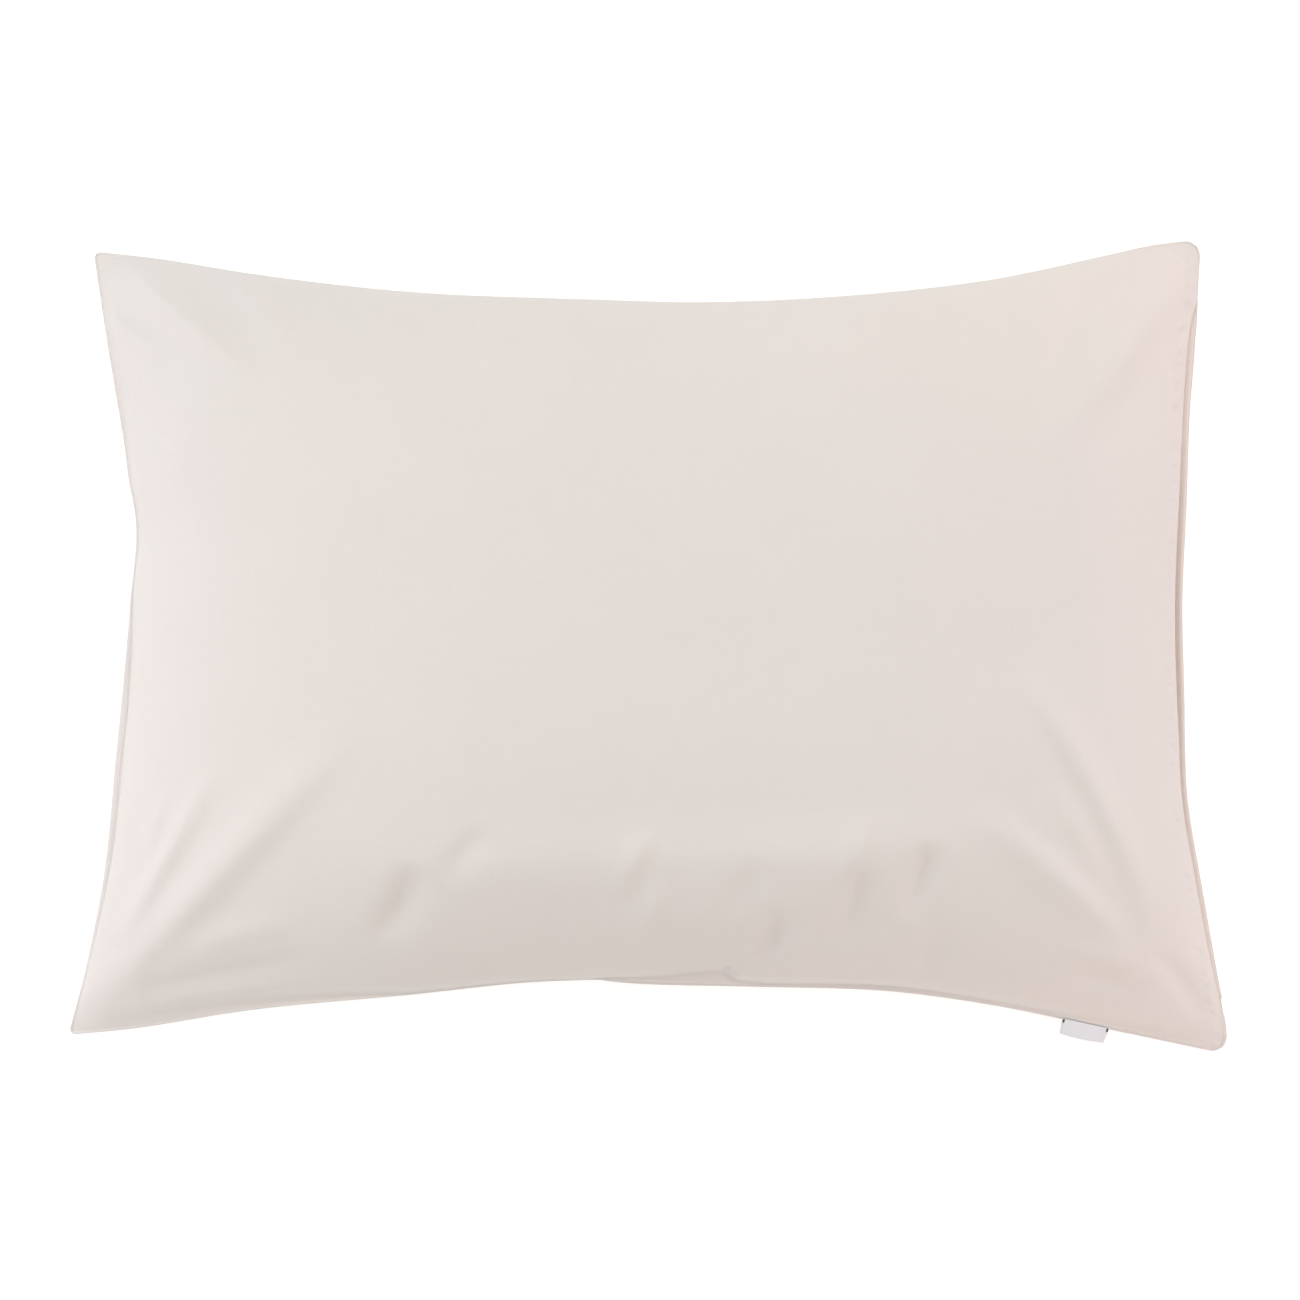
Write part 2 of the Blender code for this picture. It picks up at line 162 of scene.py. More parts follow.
# A fold runs from its start to its end, bowed to its left.  It is a ridge where
# its height is positive, else a trough, and falls off at its own rate on each
# side.  Below 1, lean moves its highest point towards its start.
Fold = namedtuple("Fold", "start_x start_y end_x end_y bow left right height lean")
FRONT_FOLDS = (
    # lower corner of the closed end
    Fold(-0.341, -0.223, -0.168, -0.044, -0.001, 0.015, 0.011, 0.0068, 0.75),
    Fold(-0.320, -0.179, -0.254, -0.070, -0.001, 0.007, 0.008, 0.0050, 0.80),
    Fold(-0.303, -0.134, -0.284, -0.082, 0.000, 0.005, 0.005, 0.0020, 0.90),
    Fold(-0.292, -0.189, -0.206, -0.164, 0.003, 0.010, 0.007, 0.0024, 0.90),
    Fold(-0.306, -0.207, -0.194, -0.184, 0.001, 0.006, 0.012, -0.0060, 0.80),
    # upper corner of the closed end
    Fold(-0.320, 0.236, -0.228, 0.156, -0.001, 0.009, 0.010, 0.0086, 0.75),
    Fold(-0.258, 0.234, -0.206, 0.179, 0.001, 0.008, 0.010, 0.0052, 0.80),
    Fold(-0.176, 0.203, -0.136, 0.172, -0.002, 0.007, 0.008, 0.0024, 1.00),
    Fold(-0.337, 0.202, -0.288, 0.170, 0.003, 0.007, 0.009, 0.0044, 0.80),
    Fold(-0.326, 0.173, -0.284, 0.116, 0.001, 0.007, 0.006, -0.0048, 1.10),
    # upper corner of the open end
    Fold(0.327, 0.234, 0.238, 0.111, 0.001, 0.011, 0.017, 0.0095, 0.72),
    Fold(0.274, 0.229, 0.236, 0.143, -0.003, 0.010, 0.010, -0.0030, 0.90),
    # lower corner of the open end
    Fold(0.219, -0.015, 0.307, -0.176, 0.007, 0.010, 0.008, 0.0062, 0.80),
    Fold(0.190, -0.093, 0.293, -0.189, 0.005, 0.008, 0.013, 0.0062, 1.00),
    Fold(0.235, -0.081, 0.268, -0.137, 0.003, 0.006, 0.006, 0.0024, 1.00),
    Fold(0.240, -0.181, 0.299, -0.195, 0.003, 0.008, 0.007, 0.0030, 1.00),
    Fold(0.247, -0.194, 0.303, -0.208, 0.002, 0.006, 0.009, -0.0040, 1.00),
    Fold(0.301, -0.180, 0.341, -0.228, 0.002, 0.007, 0.006, -0.0034, 1.00),
    Fold(0.177, -0.165, 0.159, -0.210, -0.001, 0.012, 0.007, -0.0045, 1.20),
    # short creases above the lower seam
    Fold(-0.135, -0.129, -0.161, -0.177, 0.002, 0.012, 0.008, -0.0062, 0.85),
    Fold(-0.093, -0.106, -0.122, -0.140, -0.001, 0.010, 0.007, -0.0026, 0.90),
    Fold(0.002, -0.108, -0.016, -0.150, -0.001, 0.004, 0.008, 0.0032, 1.00),
    Fold(0.012, -0.138, -0.004, -0.176, 0.000, 0.004, 0.008, 0.0024, 1.00),
    Fold(0.068, -0.124, 0.048, -0.165, -0.002, 0.012, 0.008, -0.0026, 1.00),
    Fold(0.080, -0.155, 0.064, -0.190, 0.004, 0.006, 0.008, -0.0072, 0.85),
    Fold(0.095, -0.160, 0.074, -0.188, 0.006, 0.005, 0.005, 0.0018, 1.00),
    Fold(0.128, -0.097, 0.110, -0.147, 0.005, 0.005, 0.009, 0.0026, 1.00),
    Fold(0.127, -0.130, 0.116, -0.180, 0.001, 0.008, 0.007, -0.0064, 0.85),
    Fold(0.166, -0.116, 0.153, -0.163, 0.000, 0.008, 0.005, -0.0056, 0.85),
    # the turn from the crown to the lower slope
    Fold(-0.192, -0.132, 0.149, -0.120, -0.003, 0.022, 0.022, 0.0038, 1.00),
    Fold(0.025, -0.134, 0.208, -0.114, 0.002, 0.020, 0.022, 0.0044, 1.00),
    Fold(-0.063, -0.166, 0.190, -0.142, -0.002, 0.019, 0.017, 0.0036, 1.00),
    # a thin crease below the upper seam
    Fold(-0.060, 0.196, -0.044, 0.144, 0.007, 0.004, 0.004, 0.0017, 0.80),
)
BACK_FOLDS = (
    Fold(-0.340, -0.222, -0.240, -0.140, 0.004, 0.011, 0.011, 0.0050, 0.7),
    Fold(-0.328, -0.200, -0.250, -0.120, 0.004, 0.010, 0.010, -0.0045, 0.7),
    Fold(-0.326, 0.230, -0.235, 0.150, 0.002, 0.012, 0.012, 0.0050, 0.7),
    Fold(-0.300, 0.226, -0.215, 0.160, 0.002, 0.010, 0.010, -0.0040, 0.7),
    Fold(0.326, 0.234, 0.240, 0.150, 0.002, 0.012, 0.012, -0.0050, 0.7),
    Fold(0.340, -0.234, 0.245, -0.145, 0.002, 0.012, 0.012, -0.0050, 0.7),
)

# Beside a seam the front panel lies nearly flat for a little way, and then
# turns up to its full shape, in a soft curve or, where soft is 0, in a hollow
# that ends at a sharp crest.
Flat = namedtuple("Flat", "along width turn soft")
LOWER_FLATS = (
    Flat(0.00, 0.0000, 0.010, 1.0),
    Flat(0.05, 0.0030, 0.014, 1.0),
    Flat(0.12, 0.0040, 0.014, 1.0),
    Flat(0.23, 0.0030, 0.012, 1.0),
    Flat(0.30, 0.0000, 0.008, 1.0),
    Flat(0.45, 0.0000, 0.004, 1.0),
    Flat(0.46, 0.0000, 0.004, 0.0),
    Flat(0.49, 0.0008, 0.0068, 0.0),
    Flat(0.53, 0.0054, 0.0078, 0.0),
    Flat(0.555, 0.0070, 0.0090, 0.0),
    Flat(0.564, 0.0072, 0.0096, 0.0),
    Flat(0.574, 0.0024, 0.0080, 0.8),
    Flat(0.60, 0.0000, 0.009, 1.0),
    Flat(0.86, 0.0000, 0.009, 1.0),
    Flat(0.93, 0.0020, 0.012, 1.0),
    Flat(1.00, 0.0000, 0.010, 1.0),
)
CLOSED_FLATS = (
    Flat(0.00, 0.0000, 0.004, 1.0),
    Flat(0.20, 0.0010, 0.003, 0.8),
    Flat(0.30, 0.0028, 0.003, 0.6),
    Flat(0.50, 0.0028, 0.003, 0.6),
    Flat(0.58, 0.0005, 0.004, 1.0),
    Flat(0.62, 0.0000, 0.010, 1.0),
    Flat(0.90, 0.0000, 0.012, 1.0),
    Flat(1.00, 0.0000, 0.010, 1.0),
)
FLAT_SLOPE = 0.35          # rise of the nearly flat strip for each metre across it
HOLLOW_POWER = 3           # higher values make a sharper crest past a hollow

# How far the front and back panels' turned edges stay inside the outline at
# each side, by the distance along it from left to right or from bottom to top
Turn = namedtuple("Turn", "along front back")
LOWER_TURNS = (
    Turn(0.00, 0.0000, 0.0010),
    Turn(0.10, 0.0000, 0.0030),
    Turn(0.43, 0.0000, 0.0030),
    Turn(0.47, 0.0014, 0.0000),
    Turn(0.60, 0.0010, 0.0000),
    Turn(0.70, 0.0022, 0.0000),
    Turn(0.78, 0.0016, 0.0000),
    Turn(1.00, 0.0012, 0.0000),
)
UPPER_TURNS = (
    Turn(0.00, 0.0004, 0.0000),
    Turn(0.15, 0.0000, 0.0014),
    Turn(0.85, 0.0000, 0.0016),
    Turn(1.00, 0.0004, 0.0000),
)
CLOSED_TURNS = (
    Turn(0.00, 0.0000, 0.0004),
    Turn(0.14, 0.0012, 0.0000),
    Turn(0.25, 0.0026, 0.0000),
    Turn(0.42, 0.0034, 0.0000),
    Turn(0.56, 0.0006, 0.0000),
    Turn(0.66, 0.0000, 0.0010),
    Turn(0.80, 0.0012, 0.0000),
    Turn(1.00, 0.0004, 0.0000),
)
TURN_REACH = 0.008         # how far from the seam a panel is drawn in by its turn

# The rim from the back panel (level 0) to the front panel (level 6).  Inset is
# the distance inside the panel's turn, and rise the height above the seam.
Rim = namedtuple("Rim", "inset rise")
SEWN_RIM = (
    Rim(0.0005, -0.0024),
    Rim(0.0000, -0.0013),
    Rim(0.0006, -0.0005),
    Rim(0.0020, 0.0000),
    Rim(0.0006, 0.0005),
    Rim(0.0000, 0.0013),
    Rim(0.0005, 0.0024),
)
OPEN_RIM = (
    Rim(0.0010, -0.0128),
    Rim(0.0006, -0.0114),
    Rim(0.0014, -0.0100),
    Rim(0.0150, -0.0022),
    Rim(0.0008, 0.0006),
    Rim(0.0000, 0.0014),
    Rim(0.0004, 0.0026),
)
LEVELS = len(SEWN_RIM)
MIDDLE_LEVEL = (LEVELS - 1) // 2
OPEN_REACH = 0.90          # share of the open end along which the layers are apart
OPEN_BLEND = 0.06          # share of it over which they come together


# ------------------------------------------------------------- curves and shape

def smooth_curve(points):
    """Return a function of 0..1 for the smooth curve through the points."""
    knots = np.array(points, dtype=float)
    steps = np.linalg.norm(np.diff(knots, axis=0), axis=1)
    along = np.concatenate(([0.0], np.cumsum(steps))) / steps.sum()
    slopes = np.gradient(knots, along, axis=0)

    def point_at(share):
        share = np.asarray(share, dtype=float)
        span = np.searchsorted(along, share, side="right") - 1
        span = np.clip(span, 0, len(along) - 2)
        length = along[span + 1] - along[span]
        t = (share - along[span]) / length
        rise = (t * t * (3.0 - 2.0 * t))[..., None]
        leave = (t * (1.0 - t) ** 2 * length)[..., None]
        arrive = (-t * t * (1.0 - t) * length)[..., None]
        return (knots[span] * (1.0 - rise) + knots[span + 1] * rise
                + slopes[span] * leave + slopes[span + 1] * arrive)

    return point_at


lower_side = smooth_curve(LOWER_SIDE)
upper_side = smooth_curve(UPPER_SIDE)
closed_side = smooth_curve(CLOSED_SIDE)
open_side = smooth_curve(OPEN_SIDE)
hem_curve = smooth_curve(HEM_STANDS)


def rounded(u, v):
    """Draw panel coordinates in at the four tips, to their round outlines."""
    for ear in EARS:
        radius_u = ear.tip_radius / HALF_LENGTH
        radius_v = ear.tip_radius / HALF_HEIGHT
        in_u = 1.0 - (1.0 - u * ear.side_x) / radius_u
        in_v = 1.0 - (1.0 - v * ear.side_y) / radius_v
        inside = (in_u > 0.0) & (in_v > 0.0)
        drawn_u = in_u * np.sqrt(np.maximum(1.0 - in_v * in_v / 2.0, 0.0))
        drawn_v = in_v * np.sqrt(np.maximum(1.0 - in_u * in_u / 2.0, 0.0))
        u = np.where(inside, (1.0 - (1.0 - drawn_u) * radius_u) * ear.side_x, u)
        v = np.where(inside, (1.0 - (1.0 - drawn_v) * radius_v) * ear.side_y, v)
    return u, v


def unit_share(coordinate):
    """Turn a panel coordinate of -1..1 into a share of 0..1."""
    return (coordinate + 1.0) / 2.0


def outline_point(u, v):
    """Place panel coordinates, both -1..1, inside the four curved sides."""
    u, v = rounded(np.asarray(u, dtype=float), np.asarray(v, dtype=float))
    a, b = unit_share(u), unit_share(v)
    across, up = a[..., None], b[..., None]
    between_long_sides = lower_side(a) * (1.0 - up) + upper_side(a) * up
    between_ends = closed_side(b) * (1.0 - across) + open_side(b) * across
    corners = (lower_side(0.0) * (1.0 - across) * (1.0 - up)
               + lower_side(1.0) * across * (1.0 - up)
               + upper_side(0.0) * (1.0 - across) * up
               + upper_side(1.0) * across * up)
    return between_long_sides + between_ends - corners


def seam_height(u, v):
    """Height of the plane of the seams, which falls towards the ears."""
    height = np.full(np.shape(u), SEAM_HEIGHT)
    for ear in EARS:
        reach_x = np.maximum(u * ear.side_x, 0.0)
        reach_y = np.maximum(v * ear.side_y, 0.0)
        height = height - ear.drop * (reach_x * reach_y) ** EAR_SHORTNESS
    return height


def fullness(u, v):
    """Share of the crown's height: 1 in the middle, 0 at the seams."""
    across_length = np.maximum(1.0 - np.abs(u) ** LENGTH_SQUARENESS, 0.0)
    across_height = np.maximum(1.0 - np.abs(v) ** HEIGHT_SQUARENESS, 0.0)
    exponent = EDGE_FULLNESS + EAR_THINNESS * (u * v) ** EAR_SPREAD
    return (across_length * across_height) ** exponent


def smooth_step(share):
    """0 below 0, 1 above 1, and a soft turn between."""
    share = np.clip(share, 0.0, 1.0)
    return share * share * (3.0 - 2.0 * share)


def fold_height(folds, x, y):
    """Sum of the ridges and troughs at each place."""
    total = np.zeros(np.shape(x))
    for fold in folds:
        run_x = fold.end_x - fold.start_x
        run_y = fold.end_y - fold.start_y
        run = math.hypot(run_x, run_y)
        along = ((x - fold.start_x) * run_x + (y - fold.start_y) * run_y) / run ** 2
        left = ((y - fold.start_y) * run_x - (x - fold.start_x) * run_y) / run
        across = left - fold.bow * 4.0 * along * (1.0 - along)
        width = np.where(across > 0.0, fold.left, fold.right)
        swell = np.sin(math.pi * np.clip(along, 0.0, 1.0) ** fold.lean)
        total += fold.height * swell * np.exp(-(across / width) ** 2)
    return total


def edge_distances(u, v):
    """Rough distances in metres from the ends and from the long sides."""
    return (1.0 - np.abs(u)) * HALF_LENGTH, (1.0 - np.abs(v)) * HALF_HEIGHT


def fold_share(u, v):
    """Folds start from nothing at a seam."""
    from_end, from_long_side = edge_distances(u, v)
    return smooth_step(np.minimum(from_end, from_long_side) / FOLD_FADE)


def beside_seams(u, v, full):
    """Lay the front panel's rise flatter beside the lower and closed sides."""
    way_up = (1.0 + v) * HALF_HEIGHT
    way_in = (1.0 + u) * HALF_LENGTH
    sides = ((LOWER_FLATS, unit_share(u), way_up), (CLOSED_FLATS, unit_share(v), way_in))
    for flats, along, way in sides:
        width = table_value(flats, along, "width")
        turn = table_value(flats, along, "turn")
        soft = table_value(flats, along, "soft")
        share = np.clip((way - width) / turn, 0.0, 1.0)
        hollow = share ** HOLLOW_POWER
        turned = hollow + (smooth_step(share) - hollow) * soft
        flat = np.minimum(way * FLAT_SLOPE, full)
        full = flat + (full - flat) * turned
    return full


def soft_floor(height):
    """Keep a height at or above the floor, with a soft turn onto it."""
    turning = (height + FLOOR_BLEND) ** 2 / (4.0 * FLOOR_BLEND)
    return np.where(height >= FLOOR_BLEND, height,
                    np.where(height <= -FLOOR_BLEND, 0.0, turning))


def front_height(u, v, x, y):
    """Height of the front panel's outer face."""
    rim = seam_height(u, v) + SEAM_THICKNESS / 2.0
    crown = CROWN_TOP - SEAM_HEIGHT - SEAM_THICKNESS / 2.0
    folds = fold_height(FRONT_FOLDS, x, y) * fold_share(u, v)
    return rim + beside_seams(u, v, crown * fullness(u, v)) + folds


def back_height(u, v, x, y):
    """Height of the back panel's outer face, flat where it rests."""
    rim = seam_height(u, v) - SEAM_THICKNESS / 2.0
    folds = fold_height(BACK_FOLDS, x, y) * fold_share(u, v)
    return soft_floor(rim - BELLY_DEPTH * fullness(u, v) + folds)


def crowded(share):
    """Move an even spacing of -1..1 towards both ends."""
    bunched = np.sin(share * math.pi / 2.0)
    return share * (1.0 - EDGE_CROWDING) + bunched * EDGE_CROWDING


def table_value(rows, share, column):
    """Read a named column of a table at a share of its first column."""
    return np.interp(share, [row.along for row in rows],
                     [getattr(row, column) for row in rows])


def hem_at(v):
    """The back hem's stand and dip at places along the open end."""
    return Stand(*np.moveaxis(hem_curve(unit_share(v)), -1, 0))


def open_share(u, v):
    """1 along the open end, where the layers are apart, and 0 elsewhere."""
    at_end = (u > ON_RIM).astype(float)
    return at_end * smooth_step((OPEN_REACH - np.abs(v)) / OPEN_BLEND + 0.5)


def turn_shift(u, v, column):
    """How far each place moves in x and y by the panel's turned edges."""
    a, b = unit_share(u), unit_share(v)
    to_left = np.exp(-((1.0 + u) * HALF_LENGTH / TURN_REACH) ** 2)
    to_lower = np.exp(-((1.0 + v) * HALF_HEIGHT / TURN_REACH) ** 2)
    to_upper = np.exp(-((1.0 - v) * HALF_HEIGHT / TURN_REACH) ** 2)
    shift_x = table_value(CLOSED_TURNS, b, column) * to_left
    shift_y = (table_value(LOWER_TURNS, a, column) * to_lower
               - table_value(UPPER_TURNS, a, column) * to_upper)
    return shift_x, shift_y


# ------------------------------------------------------------- mesh and objects

def add_piece(bm, name, material):
    """Make a smooth object of a finished bmesh, at the origin."""
    mesh = bpy.data.meshes.new(name)
    bm.to_mesh(mesh)
    bm.free()
    mesh.shade_smooth()
    mesh.materials.append(material)
    piece = bpy.data.objects.new(name, mesh)
    bpy.context.scene.collection.objects.link(piece)
    return piece


def mesh_points(mesh):
    """The mesh's points as an array."""
    flat = np.zeros(len(mesh.vertices) * 3, dtype=np.float32)
    mesh.vertices.foreach_get("co", flat)
    return flat.reshape(-1, 3).astype(float)


def set_mesh_points(mesh, points):
    """Move the mesh's points."""
    mesh.vertices.foreach_set("co", points.astype(np.float32).ravel())
    mesh.update()


CLOTH_MAP = "cloth"        # a piece's map of its flat cloth, in metres


def set_cloth_map(mesh, places):
    """Give the mesh a map of where each point lies on the flat cloth."""
    layer = mesh.uv_layers.new(name=CLOTH_MAP)
    corners = np.zeros(len(mesh.loops), dtype=np.int32)
    mesh.loops.foreach_get("vertex_index", corners)
    layer.data.foreach_set("uv", places[corners].astype(np.float32).ravel())


# ------------------------------------------------------------------- materials

COTTON_COLOUR = (0.914, 0.887, 0.866)
# The hem's cotton, darker and warmer than the case's: painted shade from the front panel's edge
# above it.
HEM_PAINTED_SHADE_COLOUR = (0.905, 0.862, 0.832)
COTTON_ROUGHNESS = 0.88
COTTON_SHEEN = 0.12
COTTON_BUMP = 0.6          # strength of the weave's relief
THREAD_PITCH = 0.00042     # distance between the threads of the plain weave
THREAD_RELIEF = 0.00006    # height of the threads, in metres as all reliefs
SLUB_LENGTH = 0.030        # usual length of a thicker stretch of thread
SLUB_WIDTH = 0.0012
SLUB_RELIEF = 0.00006
SLUB_TONE = 0.5            # the slubs' part in the uneven tone
PATCH_SCALE = 14.0         # wide, soft patches for each metre
PATCH_DETAIL = 3.0
PATCH_TONE = 0.6           # the patches' part in the uneven tone
TONE_DEPTH = 0.012         # how far the tone goes to each side of the colour

LABEL_COLOUR = (0.965, 0.975, 0.995)
LABEL_ROUGHNESS = 0.55
LABEL_SHEEN = 0.05
LABEL_BUMP = 0.7
RIB_PITCH = 0.0005         # distance between the ribs across the label
RIB_RELIEF = 0.00006
RIB_PAINTED_SHADE = 0.97           # brightness between the ribs: painted shade in the hollows, where their relief is low
TAPE_PITCH = 0.0003        # distance between the threads along the label
TAPE_RELIEF = 0.00003

# Colour of the dark marks at both ends of the label's root: painted shadow of the seam's opening
# there.
SEAM_SHADOW_COLOUR = (0.330, 0.320, 0.330)
SEAM_SHADOW_ROUGHNESS = 0.6
SEAM_SHADOW_SHEEN = 0.2
GRAIN_SCALE = 900.0        # light and dark spots of the painted seam shadow for each metre
GRAIN_SHADE = 0.9

SHEEN_ROUGHNESS = 0.5
WAVE_PHASE = 20.0          # radians that a wave texture turns through in one unit
NOISE_MIDDLE = 0.5         # mean value of a noise texture


def linear(colour):
    """Turn an sRGB colour into the linear one that a shader takes."""
    channels = [c / 12.92 if c <= 0.04045 else ((c + 0.055) / 1.055) ** 2.4 for c in colour]
    return (*channels, 1.0)


def shaded(colour, factor):
    """Make a colour darker or lighter."""
    return [min(channel * factor, 1.0) for channel in colour]


class Shader:
    """A material's node tree, with short calls for adding and joining nodes."""

    def __init__(self, name, colour, roughness, sheen):
        self.material = bpy.data.materials.new(name)
        self.material.use_nodes = True
        self.tree = self.material.node_tree
        self.principled = self.tree.nodes["Principled BSDF"]
        self.principled.inputs["Base Color"].default_value = linear(colour)
        self.principled.inputs["Roughness"].default_value = roughness
        self.principled.inputs["Metallic"].default_value = 0.0
        self.principled.inputs["Sheen Weight"].default_value = sheen
        self.principled.inputs["Sheen Roughness"].default_value = SHEEN_ROUGHNESS

    def add(self, kind, **settings):
        """Add a node and set its properties."""
        node = self.tree.nodes.new(kind)
        for name, value in settings.items():
            setattr(node, name, value)
        return node

    def join(self, source, target):
        """Link an output to an input."""
        self.tree.links.new(source, target)

    def math(self, operation, first, second):
        """Add a Math node of two inputs, each a number or an output."""
        node = self.add("ShaderNodeMath", operation=operation)
        for socket, value in zip(node.inputs, (first, second)):
            if isinstance(value, (int, float)):
                socket.default_value = value
            else:
                self.join(value, socket)
        return node.outputs["Value"]

    def weighted_sum(self, first, first_weight, second, second_weight):
        """Add two outputs, each times its own weight."""
        return self.math("ADD", self.math("MULTIPLY", first, first_weight),
                         self.math("MULTIPLY", second, second_weight))

    def cloth_place(self):
        """Where each point lies on the flat cloth."""
        return self.add("ShaderNodeUVMap", uv_map=CLOTH_MAP).outputs["UV"]

    def mapped(self, source, scale):
        """Scale a coordinate by its own factor each way."""
        node = self.add("ShaderNodeMapping")
        node.inputs["Scale"].default_value = scale
        self.join(source, node.inputs["Vector"])
        return node.outputs["Vector"]

    def noise(self, vector, scale, detail=2.0):
        """Add a noise texture and return its value."""
        node = self.add("ShaderNodeTexNoise")
        node.inputs["Scale"].default_value = scale
        node.inputs["Detail"].default_value = detail
        self.join(vector, node.inputs["Vector"])
        return node.outputs["Fac"]

    def waves(self, vector, direction, pitch):
        """Add even waves across one direction, for threads or ribs."""
        node = self.add("ShaderNodeTexWave", bands_direction=direction)
        node.inputs["Scale"].default_value = 2.0 * math.pi / (WAVE_PHASE * pitch)
        node.inputs["Distortion"].default_value = 0.0
        self.join(vector, node.inputs["Vector"])
        return node.outputs["Fac"]

    def tint(self, share, first, second):
        """Colour the surface between two colours, by a share of 0..1."""
        mix = self.add("ShaderNodeMix", data_type="RGBA")
        mix.inputs["A"].default_value = linear(first)
        mix.inputs["B"].default_value = linear(second)
        self.join(share, mix.inputs["Factor"])
        self.join(mix.outputs["Result"], self.principled.inputs["Base Color"])

    def relief(self, height, strength):
        """Shade the surface as if it had this height, in metres."""
        bump = self.add("ShaderNodeBump")
        bump.inputs["Strength"].default_value = strength
        bump.inputs["Distance"].default_value = 1.0
        self.join(height, bump.inputs["Height"])
        self.join(bump.outputs["Normal"], self.principled.inputs["Normal"])


PUCKER_LINE = 0.3430       # the open hem's stitches, from the panel's middle
PUCKER_REACH = 0.0065      # how far to each side they draw the cloth up
PUCKER_LENGTH = 0.0090     # from one pucker to the next, along the stitches
PUCKER_WIDTH = 0.0180      # the same, across them
PUCKER_DEPTH = 0.0080      # relief for the whole range of their noise


def stitch_puckers(shader, place):
    """Small uneven dimples along the stitches of the open end's hem."""
    apart = shader.add("ShaderNodeSeparateXYZ")
    shader.join(place, apart.inputs["Vector"])
    past_line = shader.math("SUBTRACT", apart.outputs["X"], PUCKER_LINE)
    off_line = shader.math("ABSOLUTE", past_line, 0.0)
    near = shader.math("SUBTRACT", 1.0, shader.math("DIVIDE", off_line, PUCKER_REACH))
    near = shader.math("MAXIMUM", near, 0.0)
    fade = shader.math("MULTIPLY", near, near)
    stretched = shader.mapped(place, (1.0 / PUCKER_WIDTH, 1.0 / PUCKER_LENGTH, 1.0))
    dimples = shader.noise(stretched, 1.0, detail=1.0)
    uneven = shader.math("SUBTRACT", dimples, NOISE_MIDDLE)
    return shader.math("MULTIPLY", fade, shader.math("MULTIPLY", uneven, PUCKER_DEPTH))


def cotton_material(name, colour, with_puckers):
    """Plain-weave cotton: fine threads, faint slubs and a soft uneven tone."""
    shader = Shader(name, colour, COTTON_ROUGHNESS, COTTON_SHEEN)
    place = shader.cloth_place()
    warp = shader.waves(place, "X", THREAD_PITCH)
    weft = shader.waves(place, "Y", THREAD_PITCH)
    threads = shader.math("MULTIPLY", warp, weft)
    long_slubs = shader.noise(shader.mapped(place, (1.0 / SLUB_LENGTH, 1.0 / SLUB_WIDTH, 1.0)), 1.0)
    tall_slubs = shader.noise(shader.mapped(place, (1.0 / SLUB_WIDTH, 1.0 / SLUB_LENGTH, 1.0)), 1.0)
    slubs = shader.math("ADD", long_slubs, tall_slubs)
    patches = shader.noise(place, PATCH_SCALE, detail=PATCH_DETAIL)
    uneven = shader.weighted_sum(slubs, SLUB_TONE, patches, PATCH_TONE)
    shader.tint(uneven, shaded(colour, 1.0 - TONE_DEPTH), shaded(colour, 1.0 + TONE_DEPTH))
    height = shader.weighted_sum(threads, THREAD_RELIEF, slubs, SLUB_RELIEF)
    if with_puckers:
        height = shader.math("ADD", height, stitch_puckers(shader, place))
    shader.relief(height, COTTON_BUMP)
    return shader.material


def label_material():
    """Smooth woven tape with fine ribs across it."""
    shader = Shader("woven_tape", LABEL_COLOUR, LABEL_ROUGHNESS, LABEL_SHEEN)
    place = shader.cloth_place()
    ribs = shader.waves(place, "Y", RIB_PITCH)
    threads = shader.waves(place, "X", TAPE_PITCH)
    shader.relief(shader.weighted_sum(ribs, RIB_RELIEF, threads, TAPE_RELIEF), LABEL_BUMP)
    # Darker between the ribs: painted shade in the relief's hollows.
    shader.tint(ribs, shaded(LABEL_COLOUR, RIB_PAINTED_SHADE), LABEL_COLOUR)
    return shader.material


def seam_shadow_material():
    """Dark painted shadow of the seam's opening, a little uneven along its length."""
    shader = Shader("painted_seam_shadow", SEAM_SHADOW_COLOUR, SEAM_SHADOW_ROUGHNESS, SEAM_SHADOW_SHEEN)
    grain = shader.noise(shader.add("ShaderNodeTexCoord").outputs["Object"], GRAIN_SCALE)
    shader.tint(grain, shaded(SEAM_SHADOW_COLOUR, GRAIN_SHADE), SEAM_SHADOW_COLOUR)
    return shader.material


# -------------------------------------------------------------- the filled case

PANEL_HALF_LENGTH = 0.350  # of a flat panel, over which the weave runs
PANEL_HALF_HEIGHT = 0.245


def panel_grids():
    """Two panels joined by a rim of steps, in unit panel coordinates."""
    bm = bmesh.new()
    bmesh.ops.create_grid(bm, x_segments=COLUMNS, y_segments=ROWS, size=1.0)
    raised = bmesh.ops.extrude_face_region(bm, geom=bm.faces[:])
    front = [item for item in raised["geom"] if isinstance(item, bmesh.types.BMVert)]
    top_level = float(LEVELS - 1)
    bmesh.ops.translate(bm, verts=front, vec=(0.0, 0.0, top_level))
    uprights = [edge for edge in bm.edges if edge.verts[0].co.z != edge.verts[1].co.z]
    bmesh.ops.subdivide_edges(bm, edges=uprights, cuts=LEVELS - 2)
    bmesh.ops.recalc_face_normals(bm, faces=bm.faces[:])
    return bm


